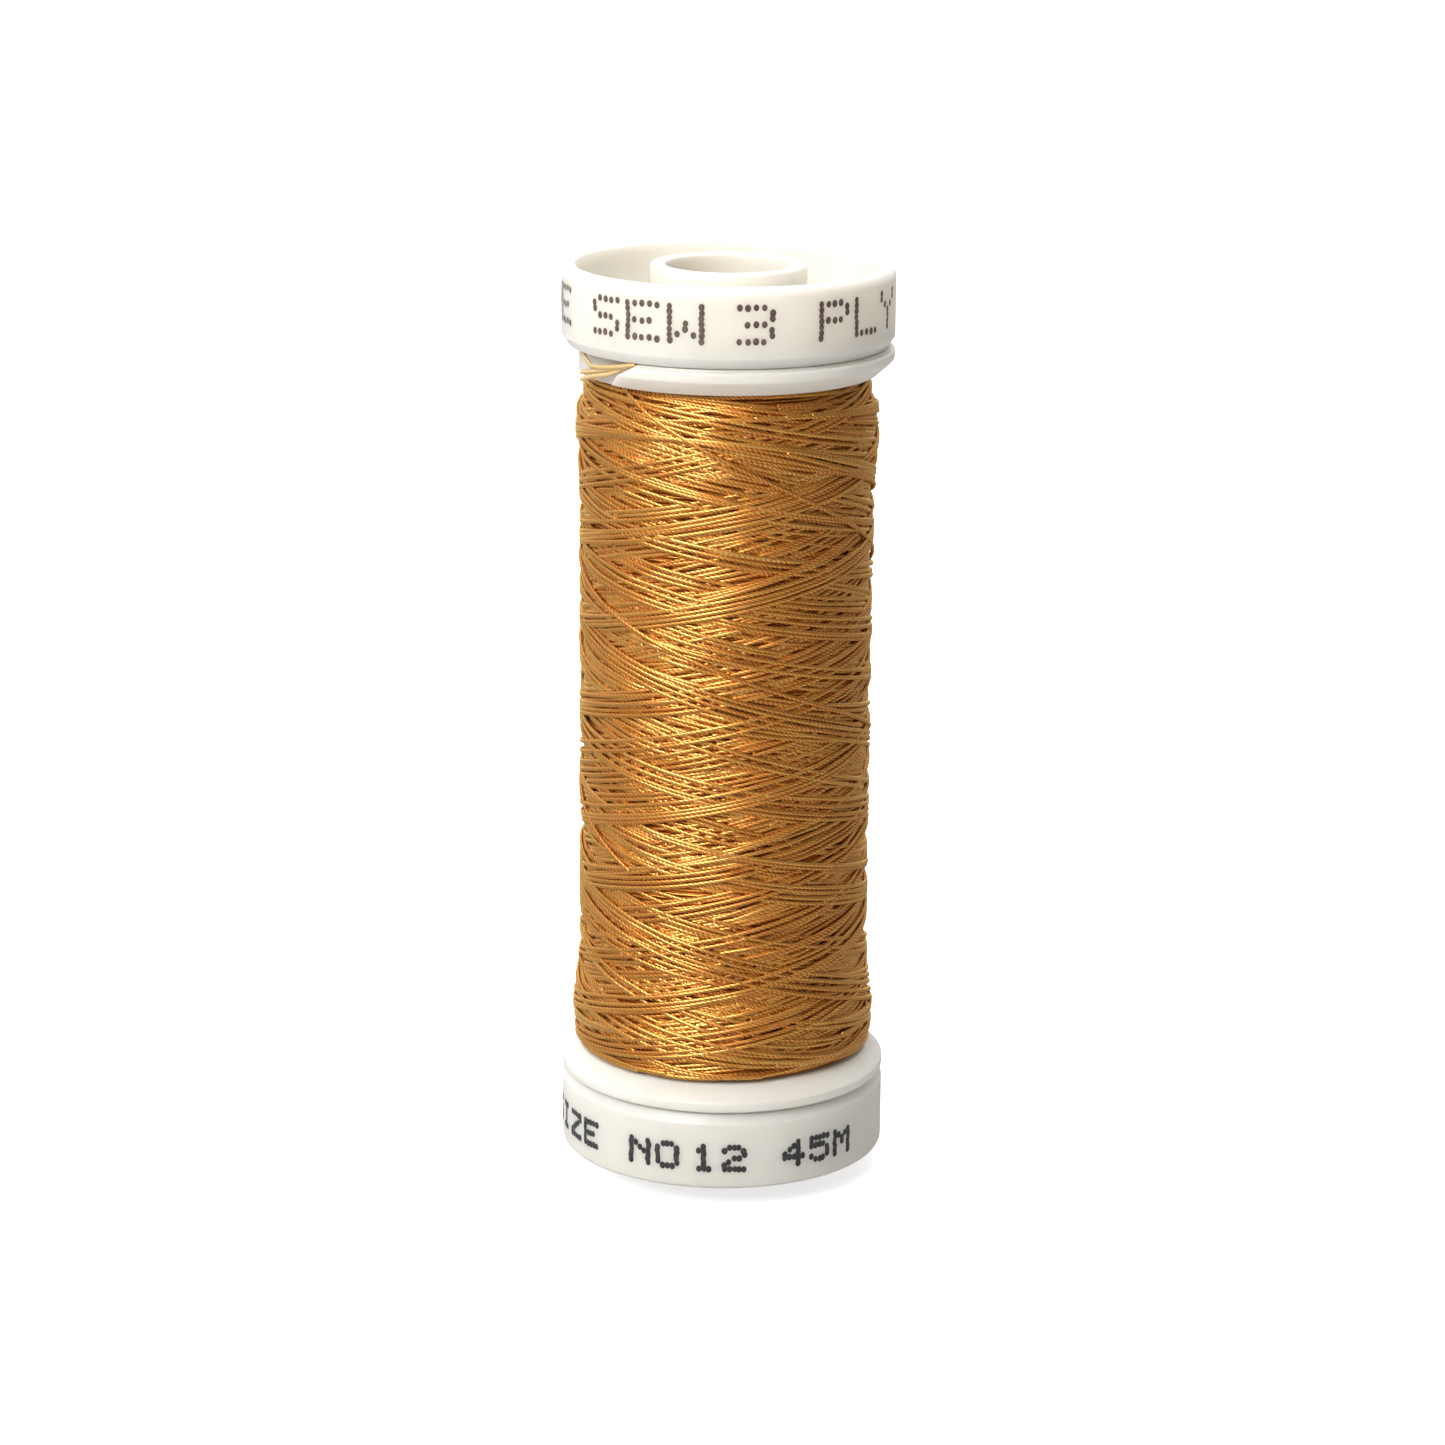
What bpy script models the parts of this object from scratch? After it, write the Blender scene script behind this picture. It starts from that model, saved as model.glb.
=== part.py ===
"""A small snap spool of fine sewing thread, standing upright on its bottom cap.

The spool comes apart into a moulded core, which is a barrel with a flange and a locking boss at each end,
and two snap caps. Each cap is a shallow cup with a hub tube for the spool pin, and four snap fingers that
ride in a groove inside the barrel, so the cap slides out a little to open the thread-locking gap between
its skirt and the flange. The thread is wound on the barrel, and its end leaves through a notch in the top
flange and goes round the top boss, in the gap.

Metres, +Z up. The origin is on the axis, at the bottom cap's rim.
"""

import math

import bmesh
import bpy
from mathutils import Vector

# Driving dimensions
SPOOL_HEIGHT = 0.0551
RIM_RADIUS = 0.0100
PIN_HOLE_RADIUS = 0.0038
THREAD_DIAMETER = 0.00025
BARREL_RADIUS = 0.0068
WOUND_RADIUS = 0.00885
CAP_TRAVEL = 0.0015
WALL = 0.0010
REST_GAP = 0.0003

# Snap cap: heights are depths below the cap's own rim
SKIRT_INNER_RADIUS = RIM_RADIUS - 0.0008
SKIRT_DEPTH = 0.00465
SKIRT_CHAMFER_WIDTH = 0.0004
SKIRT_CHAMFER_HEIGHT = 0.0006
TOP_RIM_ROUNDING = 0.0006
BOTTOM_RIM_ROUNDING = 0.0003
WEB_DEPTH = 0.00295
HUB_RADIUS = PIN_HOLE_RADIUS + 0.0009
HUB_ROUNDING = 0.0002
FINGER_INNER_RADIUS = 0.0044
FINGER_RADIUS = FINGER_INNER_RADIUS + WALL
FINGER_END_DEPTH = 0.0092
BEAD_HEIGHT = 0.0010
BEAD_RADIUS = FINGER_RADIUS + 0.00035
FINGER_SLOT_WIDTH = 0.0014
FINGER_SLOT_ROOT_DEPTH = 0.0046

# Core: heights are depths below the nearer cap's rim
BOSS_RADIUS = 0.0088
BOSS_DEPTH = WEB_DEPTH + WALL + REST_GAP
FLANGE_DEPTH = SKIRT_DEPTH + REST_GAP
FLANGE_RIM_THICKNESS = 0.0006
FLANGE_BEVEL_WIDTH = 0.0010
FLANGE_BEVEL_HEIGHT = 0.0009
FLANGE_ROUNDING = 0.00015
FLANGE_INNER_DEPTH = FLANGE_DEPTH + FLANGE_RIM_THICKNESS + FLANGE_BEVEL_HEIGHT
BOSS_ROUNDING = 0.0002
BARREL_BORE_RADIUS = FINGER_RADIUS + 0.0002
SNAP_GROOVE_RADIUS = BEAD_RADIUS + 0.0002
SNAP_GROOVE_START = FINGER_END_DEPTH - BEAD_HEIGHT - CAP_TRAVEL - REST_GAP
SNAP_GROOVE_END = FINGER_END_DEPTH + REST_GAP

# Notch in the top flange, by angles about the axis from +X
NOTCH_RADIUS = BOSS_RADIUS + 0.0002
NOTCH_START = math.radians(152)
NOTCH_END_LOW = math.radians(219.5)
NOTCH_END_HIGH = math.radians(234.5)

# Thread package: it bulges near both flanges, where the winding turns back
WINDING_BOTTOM = FLANGE_INNER_DEPTH + REST_GAP
WINDING_TOP = SPOOL_HEIGHT - WINDING_BOTTOM
WINDING_STEPS = 16
LOWER_BULGE = 0.00042
LOWER_BULGE_HEIGHT = WINDING_BOTTOM + 0.0017
LOWER_BULGE_WIDTH = 0.0030
UPPER_BULGE = 0.00026
UPPER_BULGE_HEIGHT = WINDING_TOP - 0.0028
UPPER_BULGE_WIDTH = 0.0022
END_ROUNDING = 0.0002

# Thread end, as (degrees from +X, radius, depth below the top cap's rim), all on its centreline: it climbs
# through the notch, goes round the boss inside the cap's skirt, and crosses the notch again
MM = 0.001
TAIL_STATIONS = (
    (198, 9.15, 6.60),
    (206, 9.20, 6.25),
    (214, 9.28, 5.95),
    (220, 9.28, 5.74),
    (225, 9.23, 5.44),
    (229, 9.16, 5.15),
    (232.5, 9.13, 4.93),
    (235.5, 9.12, 4.81),
    (239.5, 9.04, 4.77),
    (245, 9.00, 4.68),
    (253, 9.00, 4.52),
    (262, 9.00, 4.48),
    (400, 9.00, 4.48),
    (535, 9.00, 4.48),
    (544, 9.00, 4.52),
    (552, 9.00, 4.68),
    (557, 9.05, 4.79),
    (561, 9.20, 4.90),
    (565, 9.27, 5.15),
    (569, 9.31, 5.40),
    (575, 9.35, 5.40),
    (583.5, 9.40, 5.20),
    (590.5, 9.42, 5.00),
    (595, 9.42, 4.81),
)
TAIL_STEP = 7.5

ROUND_STEPS = 48
NOTCH_STEPS = 12
CORNER_STEPS = 3
MERGE_DISTANCE = 0.000001

PLASTIC_COLOUR = (0.86, 0.85, 0.80, 1.0)
THREAD_COLOUR = (0.62, 0.36, 0.10, 1.0)


def clear_scene():
    for obj in list(bpy.data.objects):
        bpy.data.objects.remove(obj)


def new_collection(name):
    collection = bpy.data.collections.new(name)
    bpy.context.scene.collection.children.link(collection)
    return collection


def new_material(name, colour, roughness):
    material = bpy.data.materials.new(name)
    material.use_nodes = True
    shader = material.node_tree.nodes["Principled BSDF"]
    shader.inputs["Base Color"].default_value = colour
    shader.inputs["Roughness"].default_value = roughness
    shader.inputs["Metallic"].default_value = 0.0
    return material


def rounded_corner(before, corner, after, radius):
    """Points of the arc that rounds the corner between two sides of a profile."""
    to_before = (before - corner).normalized()
    to_after = (after - corner).normalized()
    half = to_before.angle(to_after) / 2
    centre = corner + (to_before + to_after).normalized() * radius / math.sin(half)
    start = corner + to_before * radius / math.tan(half)
    end = corner + to_after * radius / math.tan(half)
    from_start = (start - centre).normalized()
    from_end = (end - centre).normalized()
    return [
        centre + from_start.slerp(from_end, step / CORNER_STEPS) * radius
        for step in range(CORNER_STEPS + 1)
    ]


def profile(*corners):
    """Closed profile from (radius, height) corners, or (radius, height, rounding) where an edge is round."""
    points = []
    for index, (radius, height, *rounding) in enumerate(corners):
        corner = Vector((radius, 0, height))
        if not rounding:
            points.append(corner)
            continue
        before = corners[index - 1]
        after = corners[(index + 1) % len(corners)]
        points += rounded_corner(
            Vector((before[0], 0, before[1])), corner, Vector((after[0], 0, after[1])), rounding[0]
        )
    return points


def turned(name, points, material, collection):
    """A ring of revolution about +Z from a closed profile that runs down its outer side."""
    mesh = bpy.data.meshes.new(name)
    count = len(points)
    edges = [(index, (index + 1) % count) for index in range(count)]
    mesh.from_pydata(points, edges, [])
    mesh.materials.append(material)
    obj = bpy.data.objects.new(name, mesh)
    collection.objects.link(obj)
    screw = obj.modifiers.new("turn", "SCREW")
    screw.axis = "Z"
    screw.angle = math.tau
    screw.steps = ROUND_STEPS
    screw.render_steps = ROUND_STEPS
    screw.use_merge_vertices = True
    screw.merge_threshold = MERGE_DISTANCE
    screw.use_smooth_shade = True
    return obj


def make_cutter(obj):
    obj.hide_render = True
    obj.display_type = "WIRE"
    return obj


def cut(obj, cutter):
    modifier = obj.modifiers.new("cut_" + cutter.name, "BOOLEAN")
    modifier.operation = "DIFFERENCE"
    modifier.solver = "EXACT"
    modifier.object = cutter


def box_cutter(name, centre, size, turn, collection):
    bpy.ops.mesh.primitive_cube_add(size=1, location=centre, rotation=(0, 0, turn))
    obj = bpy.context.active_object
    obj.name = name
    obj.scale = size
    bpy.ops.object.transform_apply(location=False, rotation=False, scale=True)
    for owner in list(obj.users_collection):
        owner.objects.unlink(obj)
    collection.objects.link(obj)
    return make_cutter(obj)


def notch_cutter(collection):
    """A sector of a ring across the top flange's rim, with one end leaning over to lead the thread in."""
    overshoot = WALL
    low = SPOOL_HEIGHT - FLANGE_INNER_DEPTH - overshoot
    high = SPOOL_HEIGHT - FLANGE_DEPTH + overshoot
    lean = NOTCH_END_HIGH - NOTCH_END_LOW
    overshoot_lean = lean * overshoot / (FLANGE_INNER_DEPTH - FLANGE_DEPTH)
    ends = {low: NOTCH_END_LOW - overshoot_lean, high: NOTCH_END_HIGH + overshoot_lean}
    shape = bmesh.new()
    sections = []
    for step in range(NOTCH_STEPS + 1):
        section = []
        for height, end in ends.items():
            angle = NOTCH_START + (end - NOTCH_START) * step / NOTCH_STEPS
            for radius in (NOTCH_RADIUS, RIM_RADIUS + overshoot):
                corner = (radius * math.cos(angle), radius * math.sin(angle), height)
                section.append(shape.verts.new(corner))
        sections.append([section[0], section[1], section[3], section[2]])
    for near, far in zip(sections, sections[1:]):
        for side in range(4):
            following = (side + 1) % 4
            shape.faces.new((near[side], near[following], far[following], far[side]))
    shape.faces.new(sections[0])
    shape.faces.new(sections[-1])
    bmesh.ops.recalc_face_normals(shape, faces=shape.faces)
    mesh = bpy.data.meshes.new("notch_cutter")
    shape.to_mesh(mesh)
    shape.free()
    obj = bpy.data.objects.new("notch_cutter", mesh)
    collection.objects.link(obj)
    return make_cutter(obj)


def core_half(depth_to_height):
    """Corners of one end of the core: (outside from the barrel to the boss, inside from the boss to the bore)."""
    bore_slope = SNAP_GROOVE_RADIUS - BARREL_BORE_RADIUS
    outside = [
        (BARREL_RADIUS, FLANGE_INNER_DEPTH),
        (RIM_RADIUS - FLANGE_BEVEL_WIDTH, FLANGE_INNER_DEPTH),
        (RIM_RADIUS, FLANGE_DEPTH + FLANGE_RIM_THICKNESS, FLANGE_ROUNDING),
        (RIM_RADIUS, FLANGE_DEPTH, FLANGE_ROUNDING),
        (BOSS_RADIUS, FLANGE_DEPTH),
        (BOSS_RADIUS, BOSS_DEPTH, BOSS_ROUNDING),
    ]
    inside = [
        (BARREL_BORE_RADIUS, BOSS_DEPTH),
        (BARREL_BORE_RADIUS, SNAP_GROOVE_START - bore_slope),
        (SNAP_GROOVE_RADIUS, SNAP_GROOVE_START),
        (SNAP_GROOVE_RADIUS, SNAP_GROOVE_END),
        (BARREL_BORE_RADIUS, SNAP_GROOVE_END + bore_slope),
    ]
    return [
        [(radius, depth_to_height(depth), *rounding) for radius, depth, *rounding in side]
        for side in (outside, inside)
    ]


def make_core(plastic, parts, cutters):
    top_outside, top_inside = core_half(lambda depth: SPOOL_HEIGHT - depth)
    bottom_outside, bottom_inside = core_half(lambda depth: depth)
    corners = top_outside[::-1] + bottom_outside + bottom_inside + top_inside[::-1]
    core = turned("spool_core", profile(*corners), plastic, parts)
    cut(core, notch_cutter(cutters))
    return core


def make_cap(name, rim_height, flipped, rim_rounding, plastic, parts, cutters):
    """A snap cap, turned below its own rim plane, with cross slots that leave four fingers."""
    finger_start = WEB_DEPTH + WALL
    bead_slope = BEAD_RADIUS - FINGER_RADIUS
    bead_start = FINGER_END_DEPTH - BEAD_HEIGHT
    cap = turned(
        name,
        profile(
            (SKIRT_INNER_RADIUS, 0),
            (RIM_RADIUS, 0, rim_rounding),
            (RIM_RADIUS, SKIRT_CHAMFER_HEIGHT - SKIRT_DEPTH),
            (RIM_RADIUS - SKIRT_CHAMFER_WIDTH, -SKIRT_DEPTH),
            (SKIRT_INNER_RADIUS, -SKIRT_DEPTH),
            (SKIRT_INNER_RADIUS, -finger_start),
            (FINGER_RADIUS, -finger_start),
            (FINGER_RADIUS, -bead_start),
            (BEAD_RADIUS, -bead_start - bead_slope),
            (BEAD_RADIUS, -FINGER_END_DEPTH + bead_slope),
            (FINGER_RADIUS, -FINGER_END_DEPTH),
            (FINGER_INNER_RADIUS, -FINGER_END_DEPTH),
            (FINGER_INNER_RADIUS, -finger_start),
            (PIN_HOLE_RADIUS, -finger_start),
            (PIN_HOLE_RADIUS, 0, HUB_ROUNDING),
            (HUB_RADIUS, 0, HUB_ROUNDING),
            (HUB_RADIUS, -WEB_DEPTH),
            (SKIRT_INNER_RADIUS, -WEB_DEPTH),
        ),
        plastic,
        parts,
    )
    cap.location.z = rim_height
    if flipped:
        cap.rotation_euler.x = math.pi
    slot_height = FINGER_END_DEPTH - FINGER_SLOT_ROOT_DEPTH + WALL
    for side in range(2):
        slot = box_cutter(
            f"{name}_slot_{side}",
            (0, 0, -FINGER_SLOT_ROOT_DEPTH - slot_height / 2),
            (FINGER_SLOT_WIDTH, 3 * FINGER_RADIUS, slot_height),
            side * math.pi / 2,
            cutters,
        )
        slot.parent = cap
        cut(cap, slot)
    return cap


def wound_radius(height):
    """Outer radius of the thread package at a height."""
    lower = (height - LOWER_BULGE_HEIGHT) / LOWER_BULGE_WIDTH
    upper = (height - UPPER_BULGE_HEIGHT) / UPPER_BULGE_WIDTH
    return WOUND_RADIUS + LOWER_BULGE * math.exp(-lower**2) + UPPER_BULGE * math.exp(-upper**2)


def make_winding(thread, parts):
    """The wound thread as one closed sleeve, with closer rings near both ends, where its radius changes."""
    middle = (WINDING_TOP + WINDING_BOTTOM) / 2
    half_length = (WINDING_TOP - WINDING_BOTTOM) / 2
    heights = [
        middle + half_length * math.cos(math.pi * step / WINDING_STEPS)
        for step in range(WINDING_STEPS + 1)
    ]
    inner_radius = BARREL_RADIUS + REST_GAP
    corners = [(wound_radius(height), height) for height in heights]
    corners[0] = (*corners[0], END_ROUNDING)
    corners[-1] = (*corners[-1], END_ROUNDING)
    corners += [(inner_radius, WINDING_BOTTOM), (inner_radius, WINDING_TOP)]
    return turned("thread_winding", profile(*corners), thread, parts)


def between(before, start, end, after, share):
    """A point on the smooth curve from start to end, where before and after are the stations beside them."""
    return (
        start
        + (end - before) * (share / 2)
        + (2 * before - 5 * start + 4 * end - after) * (share**2 / 2)
        + (3 * start - before - 3 * end + after) * (share**3 / 2)
    )


def tail_points():
    """Centreline of the thread end, through its stations."""
    stations = [Vector(station) for station in TAIL_STATIONS]
    stations = [2 * stations[0] - stations[1], *stations, 2 * stations[-1] - stations[-2]]
    rows = []
    for before, start, end, after in zip(stations, stations[1:], stations[2:], stations[3:]):
        steps = max(2, round((end.x - start.x) / TAIL_STEP))
        rows += [between(before, start, end, after, step / steps) for step in range(steps)]
    rows.append(stations[-2])
    points = []
    for degrees, radius, depth in rows:
        angle = math.radians(degrees)
        x, y = radius * MM * math.cos(angle), radius * MM * math.sin(angle)
        points.append((x, y, SPOOL_HEIGHT - depth * MM))
    return points


def make_tail(thread, parts):
    curve = bpy.data.curves.new("thread_tail", "CURVE")
    curve.dimensions = "3D"
    curve.bevel_depth = THREAD_DIAMETER / 2
    curve.bevel_resolution = 2
    curve.use_fill_caps = True
    points = tail_points()
    spline = curve.splines.new("POLY")
    spline.points.add(len(points) - 1)
    for slot, point in zip(spline.points, points):
        slot.co = (*point, 1.0)
    curve.materials.append(thread)
    tail = bpy.data.objects.new("thread_tail", curve)
    parts.objects.link(tail)
    return tail


def main():
    clear_scene()
    parts = new_collection("thread_spool")
    cutters = new_collection("cutters")
    plastic = new_material("white_plastic", PLASTIC_COLOUR, 0.35)
    thread = new_material("silk_thread", THREAD_COLOUR, 0.45)
    make_core(plastic, parts, cutters)
    make_cap("top_cap", SPOOL_HEIGHT, False, TOP_RIM_ROUNDING, plastic, parts, cutters)
    make_cap("bottom_cap", 0.0, True, BOTTOM_RIM_ROUNDING, plastic, parts, cutters)
    make_winding(thread, parts)
    make_tail(thread, parts)


main()
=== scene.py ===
"""Looks of the snap spool of sewing thread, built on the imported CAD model.

The winding is laid strand by strand on a height map of the package, as a winder lays it, so each strand
rests on the ones under it and dips between them. Only stretches that can be seen become geometry, as
three-ply twisted tubes.
"""

import math

import bmesh
import bpy
import numpy as np
from mathutils import Matrix, Vector


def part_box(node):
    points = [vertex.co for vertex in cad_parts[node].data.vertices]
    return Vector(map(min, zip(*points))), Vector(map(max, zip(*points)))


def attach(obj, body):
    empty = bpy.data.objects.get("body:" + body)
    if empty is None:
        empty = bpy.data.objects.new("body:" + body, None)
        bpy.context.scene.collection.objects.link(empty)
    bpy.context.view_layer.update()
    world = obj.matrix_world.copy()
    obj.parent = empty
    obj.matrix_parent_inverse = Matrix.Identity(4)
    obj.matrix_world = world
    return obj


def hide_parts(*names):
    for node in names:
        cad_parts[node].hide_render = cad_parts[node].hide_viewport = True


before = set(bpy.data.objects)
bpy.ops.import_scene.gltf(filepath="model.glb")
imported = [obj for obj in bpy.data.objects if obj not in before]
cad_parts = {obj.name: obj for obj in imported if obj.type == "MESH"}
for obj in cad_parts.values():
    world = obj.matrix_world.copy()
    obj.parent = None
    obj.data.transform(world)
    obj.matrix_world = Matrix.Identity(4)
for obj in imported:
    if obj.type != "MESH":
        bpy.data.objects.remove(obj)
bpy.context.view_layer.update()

MM = 0.001
CORE_BODY, TOP_BODY, BOTTOM_BODY = "wound_core", "top_cap", "bottom_cap"

# Sizes that the frame gives
cap_low, cap_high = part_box("top_cap")
core_low, core_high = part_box("spool_core")
wound_low, wound_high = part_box("thread_winding")
RIM_RADIUS = cap_high.x
SPOOL_HEIGHT = cap_high.z
CAP_DEPTH = cap_high.z - cap_low.z

# Moulding sizes, as in the CAD source but for a shallower groove between each skirt and its flange.
# Depths are below the nearer cap's rim
SKIRT_INNER_RADIUS = RIM_RADIUS - 0.8 * MM
SKIRT_DEPTH = 4.74 * MM
SKIRT_CHAMFER_WIDTH = 0.4 * MM
SKIRT_CHAMFER_HEIGHT = 0.6 * MM
TOP_RIM_ROUNDING = 0.62 * MM
BOTTOM_RIM_ROUNDING = 0.3 * MM
WEB_DEPTH = 2.95 * MM
WALL = 1.0 * MM
PIN_HOLE_RADIUS = 3.8 * MM
HUB_RADIUS = 4.7 * MM
FINGER_INNER_RADIUS = 4.4 * MM
FINGER_RADIUS = 5.4 * MM
BEAD_RADIUS = 5.75 * MM
BEAD_HEIGHT = 1.0 * MM
FINGER_SLOT_WIDTH = 1.4 * MM
FINGER_SLOT_ROOT_DEPTH = 4.6 * MM
BOSS_RADIUS = 8.8 * MM
NOTCH_RADIUS = 9.0 * MM
LOWER_BOSS_RADIUS = 9.1 * MM
BOSS_DEPTH = core_low.z
FLANGE_DEPTH = 4.92 * MM
FLANGE_RIM_THICKNESS = 0.6 * MM
FLANGE_BEVEL_WIDTH = 1.0 * MM
FLANGE_BEVEL_HEIGHT = 0.9 * MM
FLANGE_STEP = 0.12 * MM
FLANGE_STEP_RADIUS = 9.68 * MM
FLANGE_INNER_DEPTH = FLANGE_DEPTH + FLANGE_RIM_THICKNESS + FLANGE_BEVEL_HEIGHT
BARREL_RADIUS = 6.8 * MM
BARREL_BORE_RADIUS = 5.6 * MM
SNAP_GROOVE_RADIUS = 5.95 * MM
SNAP_GROOVE_START = 6.4 * MM
SNAP_GROOVE_END = 9.5 * MM
NOTCH_START, NOTCH_END_LOW, NOTCH_END_HIGH = (math.radians(a) for a in (152, 219.5, 234.5))

# Marks that the mould leaves on the cup's floor
MARK_CIRCLE = 6.9 * MM
GATE_ANGLE = 0.35
GATE_RADIUS = 0.42 * MM
GATE_DEPTH = 0.09 * MM
PIN_COUNT = 3
FIRST_PIN_ANGLE = GATE_ANGLE + 1.0
PIN_RADIUS = 0.75 * MM
PIN_DEPTH = 0.03 * MM

# How finely turned shapes are divided
TURN_STEPS = 192
ARC_STEPS = 6
EDGE_STEPS = 2
EDGE_ROUNDING = 0.06 * MM


# ---------------------------------------------------------------- node helpers


def new_material(name):
    material = bpy.data.materials.new(name)
    material.use_nodes = True
    tree = material.node_tree
    return material, tree, tree.nodes["Principled BSDF"]


def node(tree, kind, **settings):
    made = tree.nodes.new(kind)
    for key, value in settings.items():
        setattr(made, key, value)
    return made


def noise(tree, place, scale, detail, roughness):
    made = node(tree, "ShaderNodeTexNoise")
    made.inputs["Scale"].default_value = scale
    made.inputs["Detail"].default_value = detail
    made.inputs["Roughness"].default_value = roughness
    tree.links.new(place, made.inputs["Vector"])
    return made.outputs["Fac"]


def ramp(tree, value, stops):
    """A colour ramp through the stops, each a place and a colour."""
    stops = list(stops)
    made = node(tree, "ShaderNodeValToRGB")
    tree.links.new(value, made.inputs["Fac"])
    elements = made.color_ramp.elements
    while len(elements) < len(stops):
        elements.new(0.5)
    for element, (place, colour) in zip(elements, stops):
        element.position = place
        element.color = (*colour, 1.0)
    return made.outputs["Color"]


def mapped(tree, value, low, high, start=0.0, end=1.0):
    """The value's range from start to end, stretched to low to high."""
    made = node(tree, "ShaderNodeMapRange")
    made.inputs["From Min"].default_value = start
    made.inputs["From Max"].default_value = end
    made.inputs["To Min"].default_value = low
    made.inputs["To Max"].default_value = high
    tree.links.new(value, made.inputs["Value"])
    return made.outputs["Result"]


def object_coordinates(tree):
    return node(tree, "ShaderNodeTexCoord").outputs["Object"]


def bump(tree, shader, height, strength, distance):
    made = node(tree, "ShaderNodeBump")
    made.inputs["Strength"].default_value = strength
    made.inputs["Distance"].default_value = distance
    tree.links.new(height, made.inputs["Height"])
    tree.links.new(made.outputs["Normal"], shader.inputs["Normal"])


# ---------------------------------------------------------------- materials

# A wave texture's bands are tau / 20 / scale apart
LAP_SPACING = 0.3 * MM
LAP_WAVE_SCALE = math.tau / 20 / LAP_SPACING
FILAMENT_CONTRAST = 0.55

# The darkest, middle and palest tone of each material
WHITE_PLASTIC = ((0.72, 0.70, 0.648), (0.74, 0.723, 0.677), (0.755, 0.74, 0.702))
BROWN_INK = ((0.075, 0.048, 0.044), (0.16, 0.115, 0.105))
BLACK_INK = ((0.016, 0.017, 0.02), (0.055, 0.055, 0.06))
GOLD_SILK = ((0.56, 0.118, 0.003), (1.0, 0.55, 0.08), (1.0, 0.90, 0.48))
# The sleeve's silk is darker than the strands' silk: painted shade of the deeper layers
GOLD_SILK_PAINTED_SHADE = ((0.40, 0.10, 0.004), (0.75, 0.36, 0.045), (0.95, 0.60, 0.17))
GOLD_SILK_END = ((0.80, 0.42, 0.11), (0.95, 0.63, 0.24), (1.0, 0.82, 0.46))


def plastic_material(name, tones):
    """Slightly warm, slightly translucent white plastic, with a faint satin grain and handling marks."""
    material, tree, shader = new_material(name)
    place = object_coordinates(tree)
    cloud = noise(tree, place, scale=260.0, detail=4.0, roughness=0.55)
    tree.links.new(ramp(tree, cloud, zip((0.3, 0.55, 0.75), tones)), shader.inputs["Base Color"])
    smears = noise(tree, place, scale=900.0, detail=5.0, roughness=0.6)
    roughness = mapped(tree, smears, low=0.30, high=0.46, start=0.3, end=0.7)
    tree.links.new(roughness, shader.inputs["Roughness"])
    grain = noise(tree, place, scale=9000.0, detail=2.0, roughness=0.5)
    bump(tree, shader, grain, strength=0.12, distance=0.02 * MM)
    shader.inputs["Subsurface Weight"].default_value = 0.8
    shader.inputs["Subsurface Radius"].default_value = (1.0, 0.88, 0.75)
    shader.inputs["Subsurface Scale"].default_value = 2.0 * MM
    shader.inputs["Specular IOR Level"].default_value = 0.45
    return material


def ink_material(name, tones):
    """Coder ink, which dries in a blotchy film."""
    material, tree, shader = new_material(name)
    blotch = noise(tree, object_coordinates(tree), scale=3500.0, detail=3.0, roughness=0.6)
    tree.links.new(ramp(tree, blotch, zip((0.35, 0.7), tones)), shader.inputs["Base Color"])
    roughness = mapped(tree, blotch, low=0.45, high=0.65, start=0.3, end=0.7)
    tree.links.new(roughness, shader.inputs["Roughness"])
    return material


def lap_waves(tree, place):
    """Bands round the spool, one lap apart, for the layers that have no strands of their own."""
    waves = node(tree, "ShaderNodeTexWave", wave_type="BANDS", bands_direction="Z")
    waves.inputs["Scale"].default_value = LAP_WAVE_SCALE
    waves.inputs["Distortion"].default_value = 0.6
    waves.inputs["Detail"].default_value = 1.0
    tree.links.new(place, waves.inputs["Vector"])
    return waves.outputs["Fac"]


def silk_material(name, tones, has_strands=True, metallic=0.85):
    """Old-gold silk: each strand has its own tone, mottled by its fine filaments; for strands the tone
    also carries painted highlight on the ply ridges and painted shade in the ply valleys.
    """
    material, tree, shader = new_material(name)
    place = object_coordinates(tree)
    if has_strands:
        # For strands this tone holds painted ply highlight and painted ply shade
        strand = node(tree, "ShaderNodeAttribute", attribute_name="strand").outputs["Fac"]
    else:
        strand = mapped(tree, lap_waves(tree, place), low=-0.1, high=0.4)
    filaments = noise(tree, place, scale=5200.0, detail=3.0, roughness=0.65)
    sum_node = node(tree, "ShaderNodeMath", operation="MULTIPLY_ADD")
    tree.links.new(filaments, sum_node.inputs[0])
    sum_node.inputs[1].default_value = FILAMENT_CONTRAST
    tree.links.new(strand, sum_node.inputs[2])
    tone = sum_node.outputs[0]
    tree.links.new(ramp(tree, tone, zip((0.2, 0.6, 1.0), tones)), shader.inputs["Base Color"])
    # The proud lobes, with the paler tones that are painted highlight, are the smoothest
    roughness = mapped(tree, tone, low=0.50, high=0.25, start=0.15, end=0.75)
    tree.links.new(roughness, shader.inputs["Roughness"])
    if has_strands:
        bump(tree, shader, filaments, strength=0.2, distance=0.02 * MM)
    else:
        bump(tree, shader, strand, strength=1.0, distance=0.2 * MM)
    shader.inputs["Metallic"].default_value = metallic
    shader.inputs["IOR"].default_value = 2.0
    shader.inputs["Specular IOR Level"].default_value = 1.0
    shader.inputs["Specular Tint"].default_value = (1.0, 0.90, 0.72, 1.0)
    shader.inputs["Sheen Weight"].default_value = 0.03
    shader.inputs["Sheen Roughness"].default_value = 0.5
    shader.inputs["Sheen Tint"].default_value = (1.0, 0.82, 0.68, 1.0)
    shader.inputs["Coat Weight"].default_value = 0.5 if has_strands else 0.0
    shader.inputs["Coat Roughness"].default_value = 0.30
    shader.inputs["Coat IOR"].default_value = 1.6
    return material


# ---------------------------------------------------------------- meshes


def link_mesh(name, mesh, material):
    mesh.materials.clear()
    mesh.materials.append(material)
    piece = bpy.data.objects.new(name, mesh)
    bpy.context.scene.collection.objects.link(piece)
    return piece


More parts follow.
